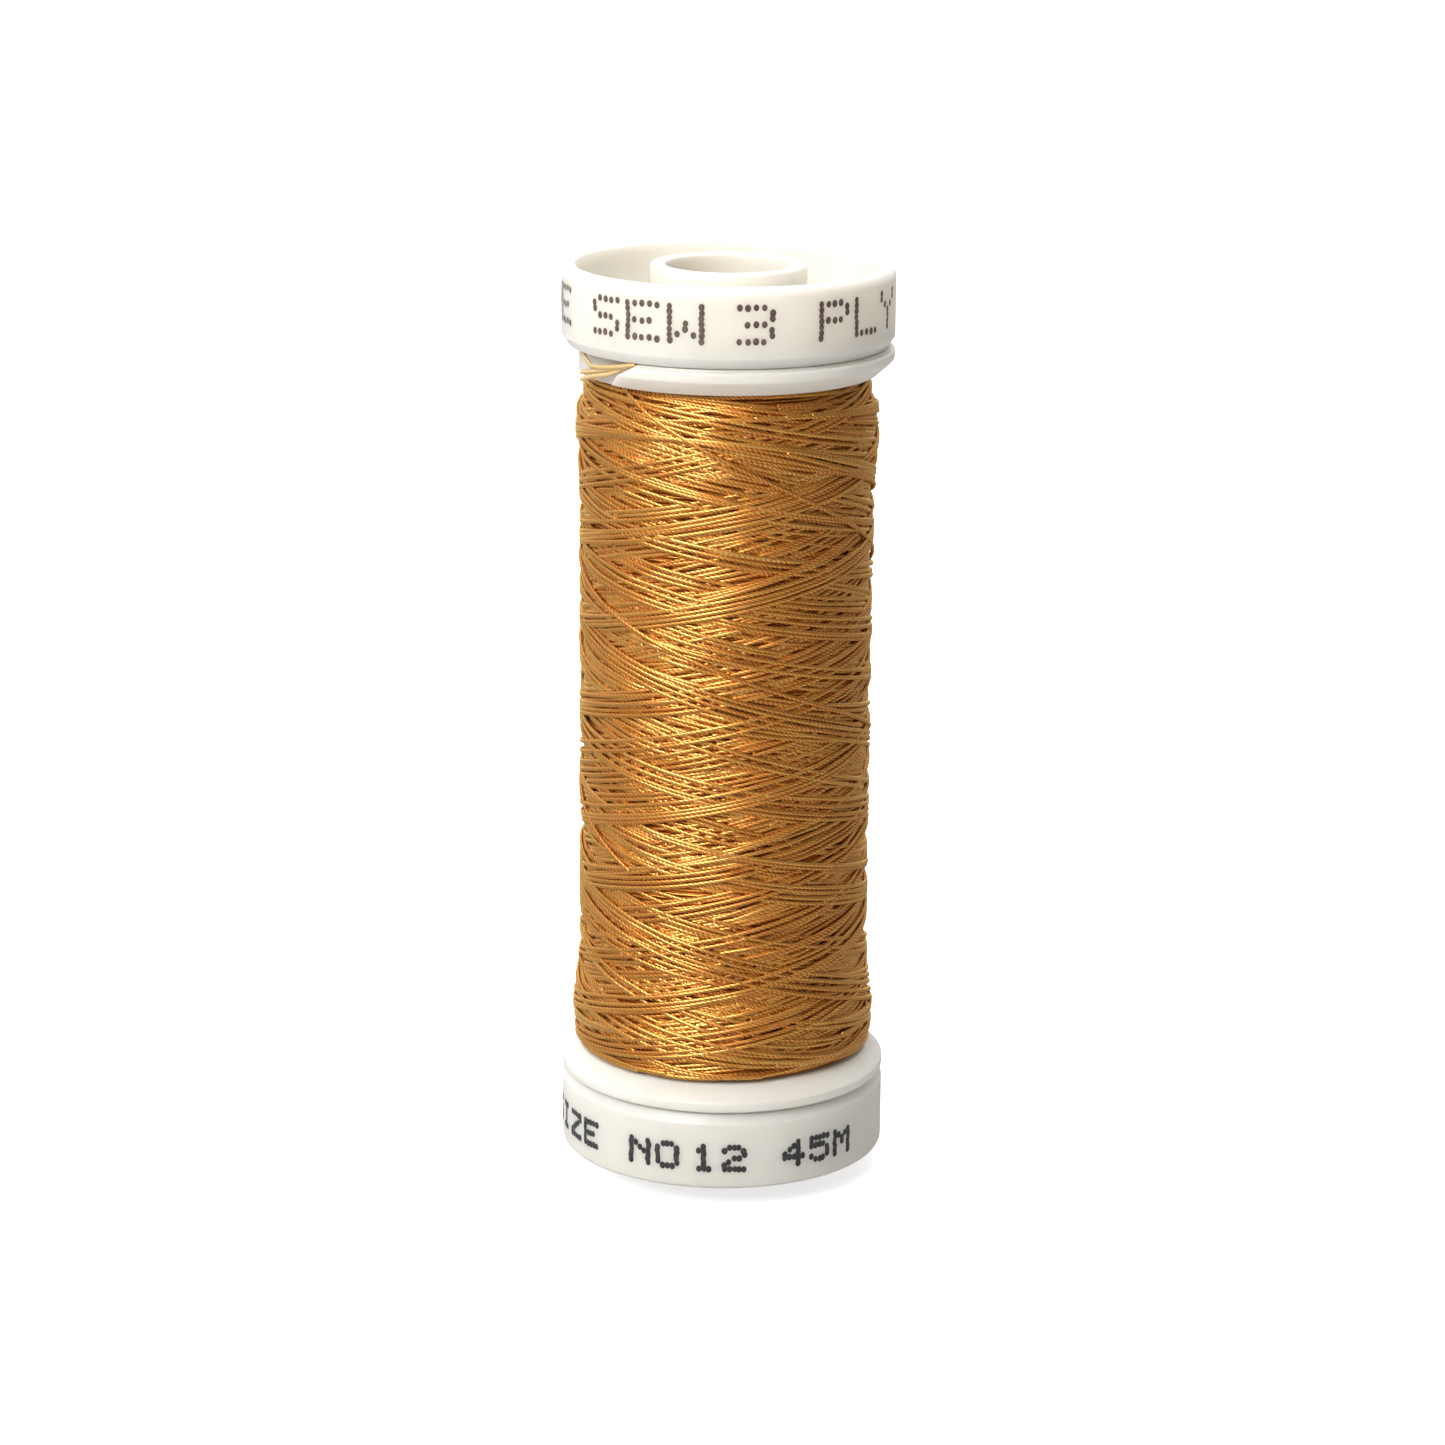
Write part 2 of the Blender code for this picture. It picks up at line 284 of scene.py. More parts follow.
def rounded_corner(before, corner, after, radius, steps):
    """Points of the arc that rounds the corner between its two neighbours."""
    to_before = (before - corner).normalized()
    to_after = (after - corner).normalized()
    half = to_before.angle(to_after) / 2
    centre = corner + (to_before + to_after).normalized() * radius / math.sin(half)
    from_start = (corner + to_before * radius / math.tan(half) - centre).normalized()
    from_end = (corner + to_after * radius / math.tan(half) - centre).normalized()
    return [centre + from_start.slerp(from_end, k / steps) * radius for k in range(steps + 1)]


def profile(corners):
    """Closed profile of (radius, height) corners, rounded by their third value or by EDGE_ROUNDING."""
    points = []
    for index, (radius, height, *rounding) in enumerate(corners):
        before = corners[index - 1]
        after = corners[(index + 1) % len(corners)]
        points += rounded_corner(
            Vector((before[0], 0, before[1])),
            Vector((radius, 0, height)),
            Vector((after[0], 0, after[1])),
            rounding[0] if rounding else EDGE_ROUNDING,
            ARC_STEPS if rounding else EDGE_STEPS,
        )
    return [(p.x, p.z) for p in points]


def turned_mesh(name, points, steps=TURN_STEPS):
    """A closed ring of revolution about Z."""
    ring = np.array(points)
    angles = np.arange(steps) * math.tau / steps
    co = np.stack(
        [
            np.outer(np.cos(angles), ring[:, 0]),
            np.outer(np.sin(angles), ring[:, 0]),
            np.tile(ring[:, 1], (steps, 1)),
        ],
        -1,
    ).reshape(-1, 3)
    count = len(ring)
    turn, along = np.meshgrid(np.arange(steps), np.arange(count), indexing="ij")
    next_turn, next_along = (turn + 1) % steps, (along + 1) % count
    faces = np.stack(
        [
            turn * count + along,
            turn * count + next_along,
            next_turn * count + next_along,
            next_turn * count + along,
        ],
        -1,
    ).reshape(-1, 4)
    mesh = bpy.data.meshes.new(name)
    mesh.from_pydata(co.tolist(), [], faces.tolist())
    outward(mesh)
    return mesh


def outward(mesh):
    """Turns all faces outwards."""
    work = bmesh.new()
    work.from_mesh(mesh)
    bmesh.ops.recalc_face_normals(work, faces=work.faces)
    work.to_mesh(mesh)
    work.free()


def smooth(mesh, angle=math.radians(32)):
    mesh.shade_smooth()
    mesh.set_sharp_from_angle(angle=angle)


def apply_cuts(piece, cutters):
    """Cuts each cutter out of the piece, then removes the cutters."""
    for cutter in cutters:
        modifier = piece.modifiers.new("cut", "BOOLEAN")
        modifier.operation = "DIFFERENCE"
        modifier.solver = "EXACT"
        modifier.object = cutter
    graph = bpy.context.evaluated_depsgraph_get()
    mesh = bpy.data.meshes.new_from_object(piece.evaluated_get(graph), depsgraph=graph)
    piece.modifiers.clear()
    piece.data = mesh
    for cutter in cutters:
        bpy.data.objects.remove(cutter)


def cutter_object(work):
    """A cutter with the bmesh's shape. The bmesh is freed."""
    mesh = bpy.data.meshes.new("cutter")
    work.to_mesh(mesh)
    work.free()
    cutter = bpy.data.objects.new("cutter", mesh)
    bpy.context.scene.collection.objects.link(cutter)
    return cutter


def box_cutter(centre, size, turn):
    work = bmesh.new()
    bmesh.ops.create_cube(work, size=1.0)
    work.transform(
        Matrix.Translation(centre) @ Matrix.Rotation(turn, 4, "Z") @ Matrix.Diagonal((*size, 1.0))
    )
    return cutter_object(work)


# ---------------------------------------------------------------- mouldings


def cap_piece(name, flipped, rim_rounding, plastic):
    """A snap cap below its rim plane: cup, hub tube, locking skirt and four snap fingers."""
    finger_start = WEB_DEPTH + WALL
    bead_slope = BEAD_RADIUS - FINGER_RADIUS
    bead_start = CAP_DEPTH - BEAD_HEIGHT
    corners = [
        (SKIRT_INNER_RADIUS, 0, 0.1 * MM),
        (RIM_RADIUS, 0, rim_rounding),
        (RIM_RADIUS, SKIRT_CHAMFER_HEIGHT - SKIRT_DEPTH, 0.15 * MM),
        (RIM_RADIUS - SKIRT_CHAMFER_WIDTH, -SKIRT_DEPTH, 0.08 * MM),
        (SKIRT_INNER_RADIUS, -SKIRT_DEPTH),
        (SKIRT_INNER_RADIUS, -finger_start),
        (FINGER_RADIUS, -finger_start, 0.15 * MM),
        (FINGER_RADIUS, -bead_start),
        (BEAD_RADIUS, -bead_start - bead_slope),
        (BEAD_RADIUS, -CAP_DEPTH + bead_slope),
        (FINGER_RADIUS, -CAP_DEPTH),
        (FINGER_INNER_RADIUS, -CAP_DEPTH),
        (FINGER_INNER_RADIUS, -finger_start),
        (PIN_HOLE_RADIUS, -finger_start),
        (PIN_HOLE_RADIUS, 0, 0.16 * MM),
        (HUB_RADIUS, 0, 0.16 * MM),
        (HUB_RADIUS, -WEB_DEPTH, 0.3 * MM),
        (SKIRT_INNER_RADIUS, -WEB_DEPTH, 0.3 * MM),
    ]
    cap = link_mesh(name, turned_mesh(name, profile(corners)), plastic)
    slot_height = CAP_DEPTH - FINGER_SLOT_ROOT_DEPTH + WALL
    slots = [
        box_cutter(
            (0, 0, -FINGER_SLOT_ROOT_DEPTH - slot_height / 2),
            (FINGER_SLOT_WIDTH, 3 * FINGER_RADIUS, slot_height),
            turn,
        )
        for turn in (0, math.pi / 2)
    ]
    apply_cuts(cap, slots + mould_marks())
    turn = Matrix.Rotation(math.pi, 4, "X") if flipped else Matrix.Translation((0, 0, SPOOL_HEIGHT))
    cap.data.transform(turn)
    smooth(cap.data)
    return cap


def mould_marks():
    """Cutters for the shallow round marks of the gate and of the ejector pins on the cup's floor."""
    marks = [(GATE_ANGLE, GATE_RADIUS, GATE_DEPTH)]
    for pin in range(PIN_COUNT):
        marks.append((FIRST_PIN_ANGLE + math.tau * pin / PIN_COUNT, PIN_RADIUS, PIN_DEPTH))
    cutters = []
    for angle, radius, depth in marks:
        centre = (MARK_CIRCLE * math.cos(angle), MARK_CIRCLE * math.sin(angle), -WEB_DEPTH)
        work = bmesh.new()
        bmesh.ops.create_cone(
            work,
            cap_ends=True,
            segments=32,
            radius1=radius,
            radius2=radius,
            depth=depth * 2,
            matrix=Matrix.Translation(centre),
        )
        cutters.append(cutter_object(work))
    return cutters


def notch_cutter():
    """A sector of a ring across the top flange's rim, whose end leans over, as in the CAD."""
    low = SPOOL_HEIGHT - FLANGE_INNER_DEPTH - WALL
    high = SPOOL_HEIGHT - FLANGE_DEPTH + WALL
    lean = (NOTCH_END_HIGH - NOTCH_END_LOW) * WALL / (FLANGE_INNER_DEPTH - FLANGE_DEPTH)
    ends = {low: NOTCH_END_LOW - lean, high: NOTCH_END_HIGH + lean}
    steps = 32
    work = bmesh.new()
    sections = []
    for step in range(steps + 1):
        section = []
        for height, end in ends.items():
            angle = NOTCH_START + (end - NOTCH_START) * step / steps
            for radius in (NOTCH_RADIUS, RIM_RADIUS + WALL):
                corner = (radius * math.cos(angle), radius * math.sin(angle), height)
                section.append(work.verts.new(corner))
        sections.append([section[0], section[1], section[3], section[2]])
    for near, far in zip(sections, sections[1:]):
        for side in range(4):
            following = (side + 1) % 4
            work.faces.new((near[side], near[following], far[following], far[side]))
    work.faces.new(sections[0])
    work.faces.new(sections[-1])
    bmesh.ops.recalc_face_normals(work, faces=work.faces)
    return cutter_object(work)


def core_piece(name, plastic):
    """The core: barrel, both flanges and both locking bosses, with the notch in the top flange."""
    slope = SNAP_GROOVE_RADIUS - BARREL_BORE_RADIUS
    outside = [
        (BARREL_RADIUS, FLANGE_INNER_DEPTH, 0.2 * MM),
        (RIM_RADIUS - FLANGE_BEVEL_WIDTH, FLANGE_INNER_DEPTH, 0.25 * MM),
        (RIM_RADIUS, FLANGE_DEPTH + FLANGE_RIM_THICKNESS, 0.18 * MM),
        (RIM_RADIUS, FLANGE_DEPTH, 0.16 * MM),
        (FLANGE_STEP_RADIUS, FLANGE_DEPTH),
        (FLANGE_STEP_RADIUS, FLANGE_DEPTH - FLANGE_STEP),
        (BOSS_RADIUS, FLANGE_DEPTH - FLANGE_STEP),
        (BOSS_RADIUS, BOSS_DEPTH, 0.2 * MM),
    ]
    bore = [
        (BARREL_BORE_RADIUS, BOSS_DEPTH),
        (BARREL_BORE_RADIUS, SNAP_GROOVE_START - slope),
        (SNAP_GROOVE_RADIUS, SNAP_GROOVE_START),
        (SNAP_GROOVE_RADIUS, SNAP_GROOVE_END),
        (BARREL_BORE_RADIUS, SNAP_GROOVE_END + slope),
    ]
    top_outside, top_bore = (
        [(radius, SPOOL_HEIGHT - depth, *rounding) for radius, depth, *rounding in reversed(side)]
        for side in (outside, bore)
    )
    outside[-2:] = [(LOWER_BOSS_RADIUS, *corner[1:]) for corner in outside[-2:]]
    corners = top_outside + outside + bore + top_bore
    core = link_mesh(name, turned_mesh(name, profile(corners)), plastic)
    apply_cuts(core, [notch_cutter()])
    smooth(core.data)
    return core


# ---------------------------------------------------------------- printed dots

# Each letter is seven rows of five, with a dot for each 1
GLYPHS = {
    "1": "00100 01100 00100 00100 00100 00100 01110",
    "2": "01110 10001 00001 00110 01000 10000 11111",
    "3": "11110 00001 00001 01110 00001 00001 11110",
    "4": "00010 00110 01010 10010 11111 00010 00010",
    "5": "11111 10000 11110 00001 00001 10001 01110",
    "E": "11111 10000 10000 11110 10000 10000 11111",
    "F": "11111 10000 10000 11110 10000 10000 10000",
    "I": "01110 00100 00100 00100 00100 00100 01110",
    "L": "10000 10000 10000 10000 10000 10000 11111",
    "M": "10001 11011 10101 10101 10001 10001 10001",
    "N": "10001 11001 10101 10011 10001 10001 10001",
    "O": "01110 10001 10001 10001 10001 10001 01110",
    "P": "11110 10001 10001 11110 10000 10000 10000",
    "S": "01111 10000 10000 01110 00001 00001 11110",
    "W": "10001 10001 10001 10101 10101 11011 10001",
    "Y": "10001 10001 01010 00100 00100 00100 00100",
    "Z": "11111 00001 00010 00100 01000 10000 11111",
}

GLYPH_COLUMNS, GLYPH_ROWS = 5, 7

# Each line is a text and the angle of its left side. Lengths are in mm, and the advance is in columns
TOP_PRINT = {
    "lines": (
        ("FINE", 143),
        ("SEW", 218.7),
        ("3", 273.6),
        ("PLY", 302.5),
        ("SEW", 2),
        ("3", 57),
        ("PLY", 86),
    ),
    "top": SPOOL_HEIGHT / MM - 1.1,
    "row_pitch": 0.33,
    "column_pitch": 0.48,
    "advance": 5.7,
    "dot": 0.35,
}
BOTTOM_PRINT = {
    "lines": (
        ("SIZE", 181),
        ("NO", 236.7),
        ("12", 260.4),
        ("45M", 292.8),
        ("SIZE", 1),
        ("NO", 56.7),
        ("12", 80.4),
        ("45M", 112.8),
    ),
    "top": 2.72,
    "row_pitch": 0.232,
    "column_pitch": 0.30,
    "advance": 6.2,
    "dot": 0.36,
}
PRINT_SEED = 2718

# How unevenly the dots land, and the shape of a dot: the scale and rise of each level
COLUMN_LEAN = 0.05
DOT_STRAY_ALONG = 0.018
DOT_STRAY_UP = 0.012
DOT_SIZES = (0.92, 1.08)
DOT_STRETCH = 1.2
DOT_SIDES = 12
DOT_LEVELS = ((1.0, -0.02), (1.0, 0.004), (0.8, 0.010))


def dot_places(lines, top, row_pitch, column_pitch, advance, dot, rng):
    """Angle, height and radius of every dot, in mm, as an inkjet coder leaves them."""
    for text, start in lines:
        for index, letter in enumerate(text):
            rows = GLYPHS[letter].split()
            for across in range(GLYPH_COLUMNS):
                lean = rng.normal(0, COLUMN_LEAN) * row_pitch
                for down in range(GLYPH_ROWS):
                    if rows[down][across] != "1":
                        continue
                    arc = (index * advance + across) * column_pitch + rng.normal(0, DOT_STRAY_ALONG)
                    angle = math.radians(start) + arc * MM / RIM_RADIUS
                    height = top - down * row_pitch + lean + rng.normal(0, DOT_STRAY_UP)
                    yield angle, height, dot / 2 * rng.uniform(*DOT_SIZES)


def dot_ring(angle, height, size, scale, rise):
    """One level of a dot, on the cap's wall."""
    radius = RIM_RADIUS + rise * MM
    for side in range(DOT_SIDES):
        around = math.tau * side / DOT_SIDES
        spin = angle + size * scale * math.cos(around) * MM / RIM_RADIUS
        up = height + DOT_STRETCH * size * scale * math.sin(around)
        yield radius * math.cos(spin), radius * math.sin(spin), up * MM


def printed_dots(name, ink, rng, **layout):
    """Low ink dots that stand on the cap's wall."""
    verts, faces = [], []
    for place in dot_places(rng=rng, **layout):
        for level, (scale, rise) in enumerate(DOT_LEVELS):
            base = len(verts)
            verts += dot_ring(*place, scale, rise)
            sides = range(base, base + DOT_SIDES)
            if level == 0:
                faces.append(tuple(reversed(sides)))
                continue
            for side in sides:
                following = base + (side - base + 1) % DOT_SIDES
                faces.append((side - DOT_SIDES, following - DOT_SIDES, following, side))
        faces.append(tuple(sides))
    mesh = bpy.data.meshes.new(name)
    mesh.from_pydata(verts, [], faces)
    outward(mesh)
    smooth(mesh, math.radians(50))
    return link_mesh(name, mesh, ink)


# ---------------------------------------------------------------- winding

# All lengths of the winding are in mm, until its meshes are made
THREAD_RADIUS = 0.158
PLY_PITCH = 0.92
STRAND_SIDES = 6
PLY_REACH = np.array([1.03, 0.86] * 3)
# Tone added on each of the six sides: painted highlight on the three ply ridges, painted shade in the
# valleys between
PLY_PAINTED_LIGHT_AND_SHADE = np.array([0.20, -0.38] * 3)
FLATNESS = 0.80
LAY_STEP = 0.055
DRAW_STEP = 0.11

# The height map, how far laps press into each other, and how proud or sunk one may end up
MAP_TURN_CELLS = 1152
MAP_CELL = 0.05
MAP_MARGIN = 0.5
START_RADIUS = 7.75
FULL_RADIUS = 8.76
SQUASH = 0.46
BLUR = 0.8
MOST_PROUD = 0.095
MOST_SUNK = 0.18

# The pressed package, and its bulges: their rise, the height of their middle and their spread
PACKAGE_RADIUS = 8.73
BULGES = ((0.42, 8.7, 2.45), (0.24, 45.3, 2.4), (-0.50, 48.6, 1.0))

# How the winder lays a lap. Its ends may reach a little past the CAD sleeve, to the flanges
END_REACH = 0.15
TURN_RADIUS = 8.7
BEND_RADIUS = 8.8
TIP_SHARE = 0.06
STRING_BLEND = 9
# Waves that a lap strays in: their size and their number per turn
WANDER = ((0.05, 0.45), (0.03, 1.3), (0.012, 3.1))
WANDER_ONSET = 12

# How it lays a group of laps: turns there and back, laps side by side, and where they turn back
WINDING_SEED = 31415
TURN_CHOICES = (5, 6, 6, 7, 7, 8, 9)
MOST_LAPS = 4
LAP_SHIFTS = (0.29, 0.42)
MOST_SPLIT = 0.45
GAP_RANGE = 2.6
GAP_POWER = 1.3
GAP_SCALE = 0.7
END_STRAY = 0.12
DRIFT = 0.10
GROUP_TRIES = 12

# Late steep laps: degrees and height of a point, rise per radian, and radians before and after the point
LATE_LAPS = (
    (430.0, 38.0, -3.0, 2.4, 2.2),
    (270.0, 31.98, -3.43, 2.6, 2.4),
    (270.0, 44.78, -4.58, 0.94, 5.6),
)
LATE_LAP_RISE = 0.03

# The stretches that show, and their tone
SEEN_SLACK = 0.03
SEEN_MARGIN = 0.22
FEWEST_RINGS = 4
RINGS_PER_PIECE = 15500
STRAND_TONE = 0.26
TONE_SPREAD = 0.035
TONE_WAVE = 0.03
TONE_WAVE_RATES = (0.02, 0.06)

# The sleeve under them, in silk darker than the strands' as painted shade of the deeper layers
SLEEVE_DEPTH = 0.25
SLEEVE_BORE = 7.0
SLEEVE_ROWS = 60
SLEEVE_STEPS = 96


class Package:
    """The wound package as a height map: radius of its surface, in mm, over angle and height."""

    def __init__(self, low, high):
        self.low = low
        self.cells = round((high - low) / MAP_CELL) + 1
        self.surface = np.full((MAP_TURN_CELLS, self.cells), START_RADIUS)
        reach = int(THREAD_RADIUS / MAP_CELL)
        self.offsets = np.arange(-reach, reach + 1)
        self.arch = np.sqrt(np.maximum(THREAD_RADIUS**2 - (self.offsets * MAP_CELL) ** 2, 0))

    def cells_at(self, angle, height):
        """The map's cells across the thread's width, at each point."""
        turn = np.round(angle / math.tau * MAP_TURN_CELLS).astype(int) % MAP_TURN_CELLS
        level = np.round((height - self.low) / MAP_CELL).astype(int)
        levels = np.clip(level[:, None] + self.offsets, 0, self.cells - 1)
        return turn[:, None], levels

    def support(self, angle, height):
        """The radius at which a lap would rest on the surface."""
        at = self.cells_at(angle, height)
        return (self.surface[at] + self.arch * SQUASH).max(1)

    def lay(self, angle, height, path):
        """Lays one run of thread and returns the radius of its centreline."""
        at = self.cells_at(angle, height)
        radius = taut(path, self.support(angle, height))
        top = radius[:, None] + self.arch * SQUASH
        np.maximum.at(self.surface, at, top)
        return radius

    def seen(self, angle, height, radius):
        """Where a lap is still at the surface once the package is full."""
        at = self.cells_at(angle, height)
        top = radius[:, None] + self.arch * SQUASH
        return (top >= self.surface[at] - SEEN_SLACK).any(1)

    def pressed(self, runs, radii):
        """The runs' radii once the package is pressed, so that its broad shape is the bulged profile."""
        broad = blurred(self.surface, round(BLUR / MAP_CELL))
        final = []
        for (angle, height, _), radius in zip(runs, radii):
            turn, levels = self.cells_at(angle, height)
            relief = radius - broad[turn[:, 0], levels[:, len(self.offsets) // 2]]
            limit = np.where(relief > 0, MOST_PROUD, MOST_SUNK)
            final.append(package_profile(height) + limit * np.tanh(relief / limit))
        return final


def blurred(surface, half):
    """Three box averages in each direction. The map wraps round in angle and stops at both ends."""
    for _ in range(3):
        for axis, mode in ((0, "wrap"), (1, "edge")):
            pad = [(0, 0), (0, 0)]
            pad[axis] = (half + 1, half)
            total = np.cumsum(np.pad(surface, pad, mode=mode), axis=axis)
            width = 2 * half + 1
            if axis == 0:
                surface = (total[width:] - total[:-width]) / width
            else:
                surface = (total[:, width:] - total[:, :-width]) / width
    return surface


def package_profile(height):
    """Radius of the pressed package: it bulges near both flanges, and tucks in under the top one."""
    radius = PACKAGE_RADIUS
    for rise, middle, spread in BULGES:
        radius = radius + rise * np.exp(-(((height - middle) / spread) ** 2))
    return radius


def taut(path, support):
    """The lowest taut string over the support: straight in space where it spans a gap."""
    curve = path**2 / (2 * BEND_RADIUS)
    bent = (support - curve).tolist()
    at = path.tolist()
    hull = []
    for index in range(len(at)):
        while len(hull) >= 2:
            a, b = hull[-2:]
            rise_to_b = (bent[b] - bent[a]) * (at[index] - at[a])
            rise_to_index = (bent[index] - bent[a]) * (at[b] - at[a])
            if rise_to_b > rise_to_index:
                break
            hull.pop()
        hull.append(index)
    radius = np.interp(path, path[hull], np.array(bent)[hull]) + curve
    kernel = np.exp(-(np.linspace(-2, 2, STRING_BLEND) ** 2))
    kernel /= kernel.sum()
    padded = np.pad(radius, STRING_BLEND // 2, mode="edge")
    return np.convolve(padded, kernel, mode="valid")


def eased(share):
    """0 to 1 at a steady rate, but starting and stopping smoothly within TIP_SHARE of each end."""
    tip = TIP_SHARE
    rate = 1 / (1 - tip)
    start = rate * share**2 / (2 * tip)
    middle = rate * (share - tip / 2)
    end = 1 - rate * (1 - share) ** 2 / (2 * tip)
    return np.where(share < tip, start, np.where(share > 1 - tip, end, middle))


def traverse(start_angle, turns, low, high, upwards, drift, rng):
    """Angle, height and path along one traverse between the flanges."""
    length = turns * math.tau * TURN_RADIUS
    share = np.linspace(0, 1, int(length / LAY_STEP))
    angle = start_angle + turns * math.tau * share
    climb = eased(share)
    height = low + (high - low) * (climb if upwards else 1 - climb)
    wander = sum(
        rng.normal(0, size) * np.sin(math.tau * (share * turns * rate + rng.uniform()))
        for size, rate in WANDER
    )
    fade = np.minimum(1, np.minimum(share, 1 - share) * WANDER_ONSET)
    return angle, height + (wander + drift * (share - 0.5)) * fade, share * length


def end_gap(rng):
    """How far from the flange a group of laps turns back, which is mostly close to it."""
    return rng.uniform(0, GAP_RANGE) ** GAP_POWER * GAP_SCALE


def choose_place(rng, package, low, high, angle, turns):
    """Where the next group of laps lies lowest: its split, its lag and the heights of its ends."""
    tries = []
    for _ in range(GROUP_TRIES):
        split = rng.uniform(-MOST_SPLIT, MOST_SPLIT)
        lag = rng.uniform(0, 1)
        ends = low + end_gap(rng), high - end_gap(rng)
        up_start = angle + lag * math.tau
        down_start = angle + (lag + turns / 2 + split) * math.tau
        up = traverse(up_start, turns / 2 + split, *ends, True, 0.0, rng)
        down = traverse(down_start, turns / 2 - split, *ends, False, 0.0, rng)
        rests = [package.support(*run[:2]) for run in (up, down)]
        load = sum(rest.mean() for rest in rests)
        load += 0.5 * sum(np.quantile(rest, 0.9) for rest in rests)
        tries.append((load, split, lag, ends))
    return min(tries)[1:]


def wind_package(rng, package, low, high):
    """Lays groups of neighbouring laps until the package is full. Returns the runs and their radii."""
    runs, radii = [], []
    angle = rng.uniform(0, math.tau)
    middle = slice(package.cells // 4, 3 * package.cells // 4)
    while package.surface[:, middle].mean() < FULL_RADIUS:
        turns = int(rng.choice(TURN_CHOICES))
        pitch = 2 * (high - low) / turns
        laps = int(rng.integers(1, MOST_LAPS + 1))
        shift = rng.choice([-1, 1]) * rng.uniform(*LAP_SHIFTS)
        split, lag, ends = choose_place(rng, package, low, high, angle, turns)
        angle += lag * math.tau
        for _ in range(laps):
            halves = (turns / 2 + split, turns / 2 - split + shift / pitch)
            for upwards, half in zip((True, False), halves):
                lap_low = ends[0] + abs(rng.normal(0, END_STRAY))
                lap_high = ends[1] - abs(rng.normal(0, END_STRAY))
                drift = rng.normal(0, DRIFT)
                run = traverse(angle, half, lap_low, lap_high, upwards, drift, rng)
                runs.append(run)
                radii.append(package.lay(*run))
                angle += half * math.tau
    return runs, radii


def late_lap(low, high, degrees, point_height, slope, before, after):
    """A steep lap that passes the given point, kept between the flanges."""
    turned = np.arange(-before, after, LAY_STEP / BEND_RADIUS)
    height = point_height + slope * turned
    inside = (height > low) & (height < high)
    run = turned + math.radians(degrees), height, (turned + before) * BEND_RADIUS
    return tuple(values[inside] for values in run)


def strand_mesh_arrays(angle, height, radius, spin):
    """Vertices and side quads of one three-ply twisted strand."""
    cos, sin = np.cos(angle), np.sin(angle)
    centre = np.stack([radius * cos, radius * sin, height], -1)
    along = np.gradient(centre, axis=0)
    along /= np.linalg.norm(along, axis=1, keepdims=True)
    out = np.stack([cos, sin, np.zeros_like(cos)], -1)
    out -= along * (out * along).sum(1, keepdims=True)
    out /= np.linalg.norm(out, axis=1, keepdims=True)
    across = np.cross(along, out)
    lobes = PLY_REACH * THREAD_RADIUS
    around = spin[:, None] + np.arange(STRAND_SIDES) * math.tau / STRAND_SIDES
    rings = (
        centre[:, None, :]
        + (np.cos(around) * lobes * FLATNESS)[..., None] * out[:, None, :]
        + (np.sin(around) * lobes)[..., None] * across[:, None, :]
    )
    first, side = np.meshgrid(np.arange(len(centre) - 1), np.arange(STRAND_SIDES), indexing="ij")
    here = first * STRAND_SIDES
    following = (side + 1) % STRAND_SIDES
    there = here + STRAND_SIDES
    quads = np.stack([here + side, here + following, there + following, there + side], -1)
    return rings.reshape(-1, 3), quads.reshape(-1, 4)


def mesh_of_strands(name, strands, material):
    """One mesh of many strands, each closed at both ends, with the tone as an attribute. The attribute
    also holds painted highlight on the ply ridges and painted shade in the ply valleys.
    """
    vertex_blocks, quad_blocks, tone_and_painted_ply_light_blocks, caps = [], [], [], []
    base = 0
    for angle, height, radius, spin, tone in strands:
        verts, quads = strand_mesh_arrays(angle, height, radius, spin)
        vertex_blocks.append(verts)
        quad_blocks.append(quads + base)
        # Each side's tone gets its painted ply highlight or painted ply shade
        tone_and_painted_ply_light_blocks.append((tone[:, None] + PLY_PAINTED_LIGHT_AND_SHADE).ravel())
        caps.append(np.arange(base, base + STRAND_SIDES)[::-1])
        base += len(verts)
        caps.append(np.arange(base - STRAND_SIDES, base))
    quads = np.concatenate(quad_blocks)
    caps = np.array(caps)
    mesh = bpy.data.meshes.new(name)
    mesh.vertices.add(base)
    mesh.vertices.foreach_set("co", (np.concatenate(vertex_blocks) * MM).astype(np.float32).ravel())
    loops = np.concatenate([quads.ravel(), caps.ravel()]).astype(np.int32)
    mesh.loops.add(len(loops))
    mesh.loops.foreach_set("vertex_index", loops)
    sizes = np.repeat([quads.shape[1], STRAND_SIDES], [len(quads), len(caps)])
    starts = (np.cumsum(sizes) - sizes).astype(np.int32)
    mesh.polygons.add(len(starts))
    mesh.polygons.foreach_set("loop_start", starts)
    mesh.update(calc_edges=True)
    mesh.validate()
    attribute = mesh.attributes.new("strand", "FLOAT", "POINT")
    attribute.data.foreach_set("value", np.concatenate(tone_and_painted_ply_light_blocks).astype(np.float32))
    mesh.shade_smooth()
    return link_mesh(name, mesh, material)


def seen_strands(package, runs, radii, pressed, rng):
    """Cuts the runs down to the stretches that show, resampled for drawing."""
    strands = []
    stride = round(DRAW_STEP / LAY_STEP)
    margin = int(SEEN_MARGIN / LAY_STEP)
    for (angle, height, path), radius, final in zip(runs, radii, pressed):
        shows = package.seen(angle, height, radius)
        shows = np.convolve(shows, np.ones(2 * margin + 1), mode="same") > 0.5
        edges = np.flatnonzero(np.diff(np.concatenate([[0], shows.astype(int), [0]])))
        phase = rng.uniform(0, math.tau)
        tone = STRAND_TONE + TONE_SPREAD * rng.normal()
        wave = np.sin(path * rng.uniform(*TONE_WAVE_RATES) + rng.uniform(0, math.tau))
        tone = tone + TONE_WAVE * wave
        for start, end in zip(edges[::2], edges[1::2]):
            if end - start < FEWEST_RINGS * stride:
                continue
            pick = np.arange(start, end, stride)
            spin = phase + path[pick] * math.tau / PLY_PITCH
            strands.append((angle[pick], height[pick], final[pick], spin, tone[pick]))
    return strands


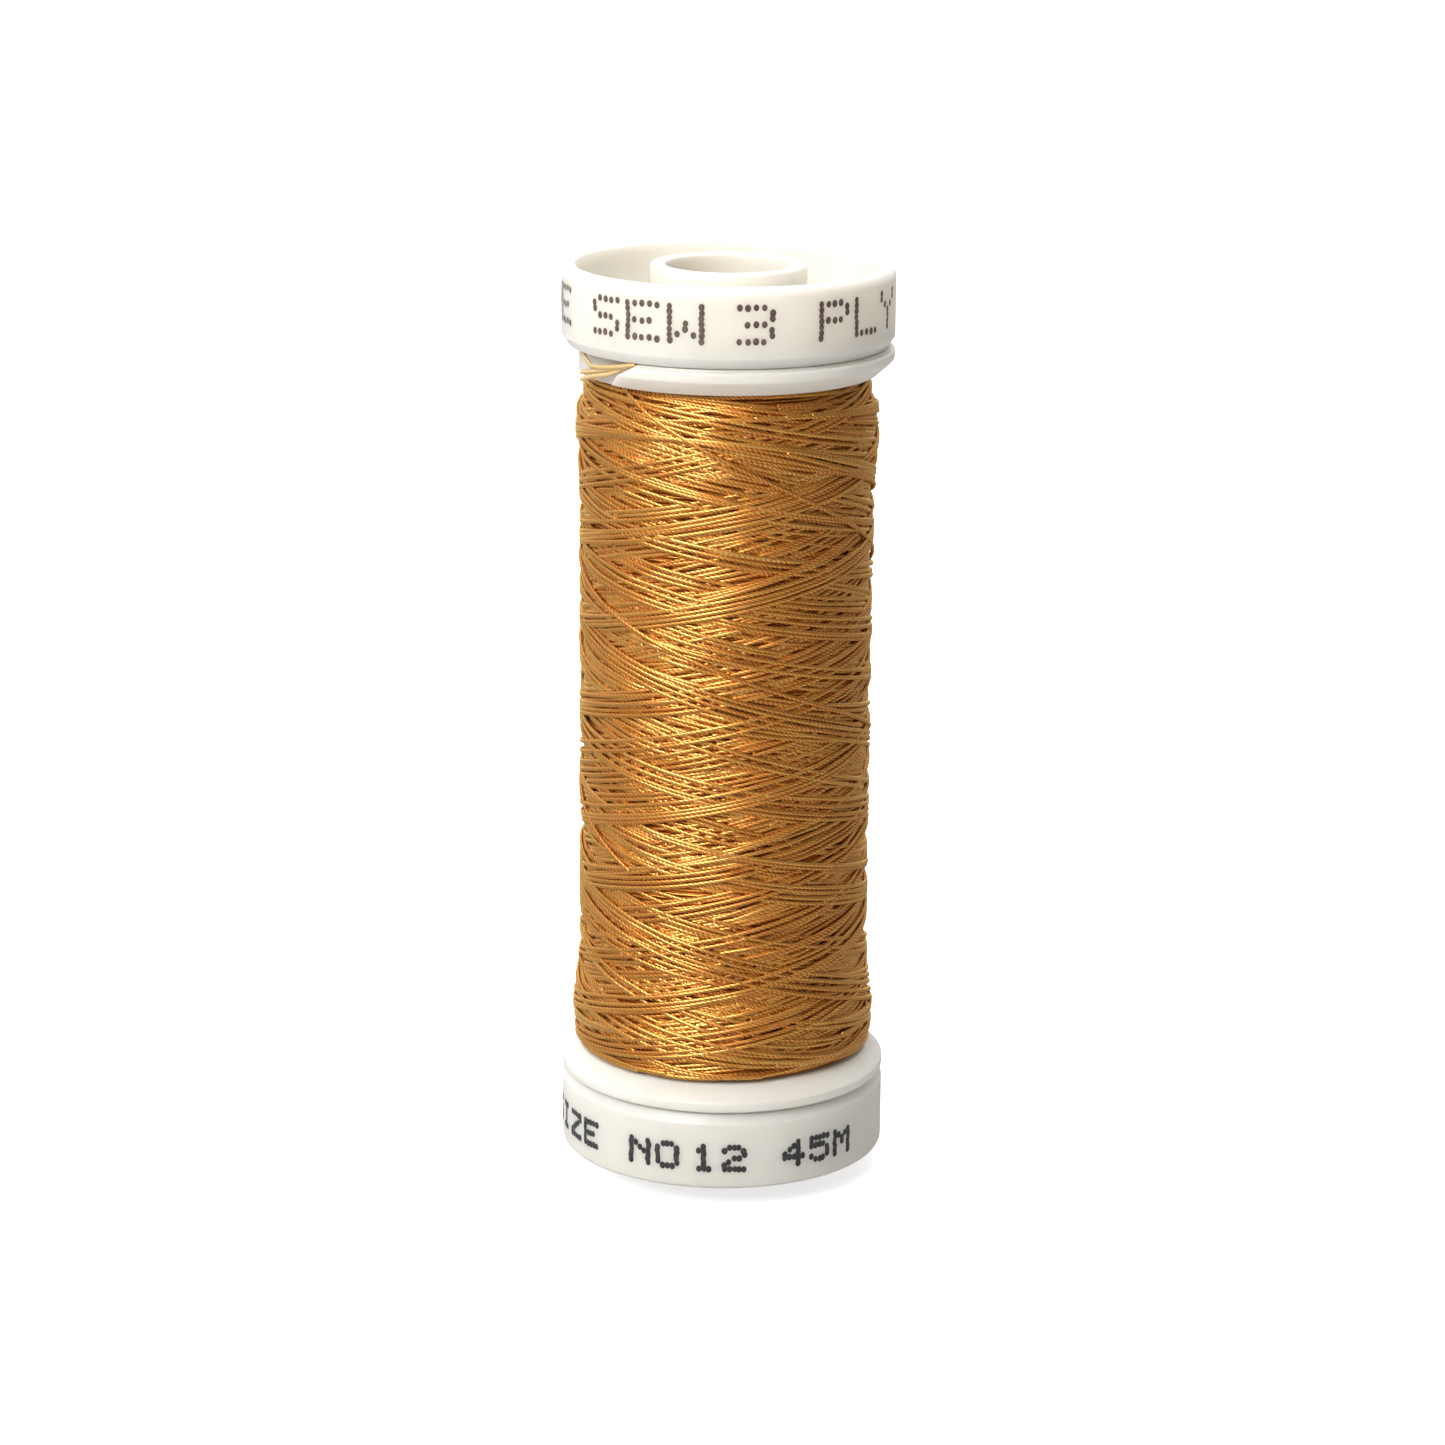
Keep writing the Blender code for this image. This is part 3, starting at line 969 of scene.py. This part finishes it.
def split_pieces(strands):
    """Groups strands by the height of their middle, with at most about RINGS_PER_PIECE rings each."""
    strands = sorted(strands, key=lambda strand: float(strand[1].mean()))
    total = sum(len(strand[0]) for strand in strands)
    pieces = math.ceil(total / RINGS_PER_PIECE)
    share = total / pieces
    groups, held = [[]], 0
    for strand in strands:
        if held > share * len(groups) and len(groups) < pieces:
            groups.append([])
        groups[-1].append(strand)
        held += len(strand[0])
    return groups


def inner_layers(name, low, high, material):
    """The layers under the strands that show, as a plain sleeve."""
    heights = np.linspace(low, high, SLEEVE_ROWS)
    outline = [((package_profile(height) - SLEEVE_DEPTH) * MM, height * MM) for height in heights]
    outline += [(SLEEVE_BORE * MM, high * MM), (SLEEVE_BORE * MM, low * MM)]
    sleeve = link_mesh(name, turned_mesh(name, outline, SLEEVE_STEPS), material)
    smooth(sleeve.data)
    return sleeve


def build_winding(silk, painted_shade_silk):
    rng = np.random.default_rng(WINDING_SEED)
    low = wound_low.z / MM - END_REACH
    high = wound_high.z / MM + END_REACH
    package = Package(low - MAP_MARGIN, high + MAP_MARGIN)
    runs, radii = wind_package(rng, package, low, high)
    for lap in LATE_LAPS:
        runs.append(late_lap(low, high, *lap))
        radii.append(package.lay(*runs[-1]))
    pressed = package.pressed(runs, radii)
    late = slice(-len(LATE_LAPS), None)
    pressed[late] = [radius + LATE_LAP_RISE for radius in pressed[late]]
    strands = seen_strands(package, runs, radii, pressed, rng)
    pieces = [
        mesh_of_strands(f"thread_laps_{index:02d}", group, silk)
        for index, group in enumerate(split_pieces(strands), 1)
    ]
    pieces.append(inner_layers("thread_inner_layers", low, high, painted_shade_silk))
    for piece in pieces:
        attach(piece, CORE_BODY)
        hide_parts("thread_winding")


# ---------------------------------------------------------------- thread's end

# Stations are an angle in degrees, a radius in mm and a depth below the top rim in mm. The end leaves
# the package, climbs through the notch and goes once round the boss
TAIL_STATIONS = (
    (198, 9.15, 6.60),
    (206, 9.20, 6.25),
    (214, 9.28, 5.95),
    (220, 9.28, 5.74),
    (225, 9.23, 5.44),
    (229, 9.16, 5.15),
    (232.5, 9.13, 4.93),
    (235.5, 9.12, 4.81),
    (239.5, 9.04, 4.77),
    (245, 9.00, 4.68),
    (253, 9.00, 4.52),
    (262, 9.00, 4.48),
    (400, 9.00, 4.48),
    (535, 9.00, 4.48),
    (544, 9.00, 4.52),
    (552, 9.00, 4.68),
    (557, 9.05, 4.79),
    (561, 9.20, 4.90),
    (565, 9.27, 5.15),
    (569, 9.31, 5.40),
    (575, 9.35, 5.40),
    (583.5, 9.40, 5.20),
    (590.5, 9.42, 5.00),
    (595, 9.42, 4.81),
)
# The second strand that lies beside it in the notch
DOUBLE_STATIONS = (
    (197, 9.12, 6.20),
    (206, 9.18, 5.92),
    (214, 9.22, 5.66),
    (220, 9.22, 5.45),
    (225, 9.25, 5.25),
    (229, 9.28, 5.06),
    (232, 9.29, 4.93),
    (235, 9.28, 4.83),
)
TAIL_TONE = 0.55


def smooth_curve(stations, step):
    """Catmull-Rom curve through the stations, as rows of the same three values about a step apart."""
    knots = np.array(stations, float)
    knots = np.vstack([2 * knots[0] - knots[1], knots, 2 * knots[-1] - knots[-2]])
    rows = []
    for before, start, end, after in zip(knots, knots[1:], knots[2:], knots[3:]):
        length = math.hypot(math.radians(end[0] - start[0]) * start[1], end[2] - start[2])
        steps = max(2, round(length / step))
        linear = end - before
        square = 2 * before - 5 * start + 4 * end - after
        cube = 3 * start - before - 3 * end + after
        for t in np.arange(steps) / steps:
            rows.append(start + (linear * t + square * t**2 + cube * t**3) / 2)
    rows.append(knots[-2])
    return np.array(rows)


def tail_strand(stations):
    """Angle, height, radius, twist and tone of a strand along the stations."""
    degrees, radius, depth = smooth_curve(stations, DRAW_STEP).T
    angle = np.radians(degrees)
    height = SPOOL_HEIGHT / MM - depth
    point = np.stack([radius * np.cos(angle), radius * np.sin(angle), height], -1)
    path = np.concatenate([[0], np.cumsum(np.linalg.norm(np.diff(point, axis=0), axis=1))])
    spin = path * math.tau / PLY_PITCH
    return angle, height, radius, spin, np.full(len(path), TAIL_TONE)


def build_tail(silk):
    strands = [tail_strand(stations) for stations in (TAIL_STATIONS, DOUBLE_STATIONS)]
    piece = mesh_of_strands("thread_end", strands, silk)
    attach(piece, CORE_BODY)
    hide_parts("thread_tail")


# ---------------------------------------------------------------- stage

LENS = 101.95
SENSOR = 36.0
CAMERA_PLACE = (-0.153 * MM, -242.86 * MM, 91.69 * MM)
CAMERA_DIP = 0.26142
CAMERA_ROLL = 0.00873

# The bottom cap pulls out by 1.5 mm, and the floor is just below it then
FLOOR_DROP = 1.55 * MM
FLOOR_REACH = 3.0

# The studio is bright behind the object and to its left, and dim and warm elsewhere
BRIGHT_SIDE = (-0.20, 0.92, 0.0)
STUDIO_TONES = ((0.0, (0.105, 0.088, 0.068)), (1.0, (1.0, 1.0, 1.0)))
STUDIO_STRENGTH = 1.4
LIGHTS_AIM = (0, 0, 0.028)
WHITE = (1.0, 1.0, 1.0)
KEY_WHITE = (1.0, 0.985, 0.95)


def make_camera():
    data = bpy.data.cameras.new("camera")
    data.sensor_width = SENSOR
    data.lens = LENS
    data.clip_start = 0.01
    data.clip_end = 20.0
    camera = bpy.data.objects.new("camera", data)
    bpy.context.scene.collection.objects.link(camera)
    pitch = Matrix.Rotation(math.pi / 2 - CAMERA_DIP, 4, "X")
    roll = Matrix.Rotation(CAMERA_ROLL, 4, "Z")
    camera.matrix_world = Matrix.Translation(CAMERA_PLACE) @ pitch @ roll
    bpy.context.scene.camera = camera


def area_light(name, position, width, height, power, colour):
    data = bpy.data.lights.new(name, "AREA")
    data.shape = "RECTANGLE"
    data.size = width
    data.size_y = height
    data.energy = power
    data.color = colour
    light = bpy.data.objects.new(name, data)
    bpy.context.scene.collection.objects.link(light)
    light.location = position
    direction = Vector(LIGHTS_AIM) - Vector(position)
    light.rotation_euler = direction.to_track_quat("-Z", "Y").to_euler()


def make_floor():
    """A pale floor. It looks white, and throws less light on the object than a white one would."""
    material, tree, shader = new_material("studio_floor")
    rays = node(tree, "ShaderNodeLightPath").outputs
    shader.inputs["Roughness"].default_value = 0.9
    shader.inputs["Emission Color"].default_value = (*WHITE, 1.0)
    extra = node(tree, "ShaderNodeMath", operation="ADD")
    tree.links.new(mapped(tree, rays["Is Camera Ray"], low=0.0, high=0.3), extra.inputs[0])
    tree.links.new(mapped(tree, rays["Is Glossy Ray"], low=0.56, high=0.36), extra.inputs[1])
    tree.links.new(extra.outputs[0], shader.inputs["Base Color"])
    glow = mapped(tree, rays["Is Camera Ray"], low=0.0, high=0.7)
    tree.links.new(glow, shader.inputs["Emission Strength"])
    mesh = bpy.data.meshes.new("floor")
    reach = FLOOR_REACH
    corners = [(-reach, -reach), (reach, -reach), (reach, reach), (-reach, reach)]
    mesh.from_pydata([(x, y, -FLOOR_DROP) for x, y in corners], [], [(0, 1, 2, 3)])
    link_mesh("floor", mesh, material)


def make_studio():
    """The studio's light from all round, with a white backdrop where the camera sees past the object."""
    world = bpy.data.worlds.new("studio")
    bpy.context.scene.world = world
    world.use_nodes = True
    tree = world.node_tree
    tree.nodes.clear()
    backdrop = node(tree, "ShaderNodeBackground")
    backdrop.inputs["Color"].default_value = (*WHITE, 1.0)
    lit = node(tree, "ShaderNodeBackground")
    lit.inputs["Strength"].default_value = STUDIO_STRENGTH
    bright_side = node(tree, "ShaderNodeVectorMath", operation="DOT_PRODUCT")
    bright_side.inputs[1].default_value = BRIGHT_SIDE
    direction = node(tree, "ShaderNodeTexCoord").outputs["Generated"]
    tree.links.new(direction, bright_side.inputs[0])
    glow = mapped(tree, bright_side.outputs["Value"], low=0.0, high=1.0, start=-0.18, end=0.7)
    tree.links.new(ramp(tree, glow, STUDIO_TONES), lit.inputs["Color"])
    mix = node(tree, "ShaderNodeMixShader")
    rays = node(tree, "ShaderNodeLightPath").outputs
    tree.links.new(rays["Is Camera Ray"], mix.inputs[0])
    tree.links.new(lit.outputs[0], mix.inputs[1])
    tree.links.new(backdrop.outputs[0], mix.inputs[2])
    output = node(tree, "ShaderNodeOutputWorld")
    tree.links.new(mix.outputs[0], output.inputs[0])


def make_stage():
    make_floor()
    make_studio()
    area_light("key", (-0.26, -0.41, 0.40), 0.42, 0.30, 4.2, KEY_WHITE)
    area_light("top", (0.0, 0.10, 0.5), 0.3, 0.3, 1.15, WHITE)
    view = bpy.context.scene.view_settings
    view.view_transform = "Standard"
    view.look = "None"
    view.exposure = 0.0
    view.gamma = 1.0


# ---------------------------------------------------------------- the whole


def build_mouldings():
    plastic = plastic_material("moulded_white", WHITE_PLASTIC)
    for piece, body, replaced in (
        (cap_piece("top_snap_cap", False, TOP_RIM_ROUNDING, plastic), TOP_BODY, "top_cap"),
        (cap_piece("bottom_snap_cap", True, BOTTOM_RIM_ROUNDING, plastic), BOTTOM_BODY, "bottom_cap"),
        (core_piece("moulded_core", plastic), CORE_BODY, "spool_core"),
    ):
        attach(piece, body)
        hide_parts(replaced)


def build_prints():
    rng = np.random.default_rng(PRINT_SEED)
    brown_ink = ink_material("coder_ink_brown", BROWN_INK)
    black_ink = ink_material("coder_ink_black", BLACK_INK)
    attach(printed_dots("top_cap_print", brown_ink, rng, **TOP_PRINT), TOP_BODY)
    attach(printed_dots("bottom_cap_print", black_ink, rng, **BOTTOM_PRINT), BOTTOM_BODY)


build_mouldings()
build_prints()
# The sleeve gets the darker silk, painted shade of the deeper layers
build_winding(
    silk_material("gold_silk", GOLD_SILK),
    silk_material("gold_silk_sleeve_painted_shade", GOLD_SILK_PAINTED_SHADE, has_strands=False),
)
build_tail(silk_material("gold_silk_end", GOLD_SILK_END, metallic=0.25))
make_camera()
make_stage()
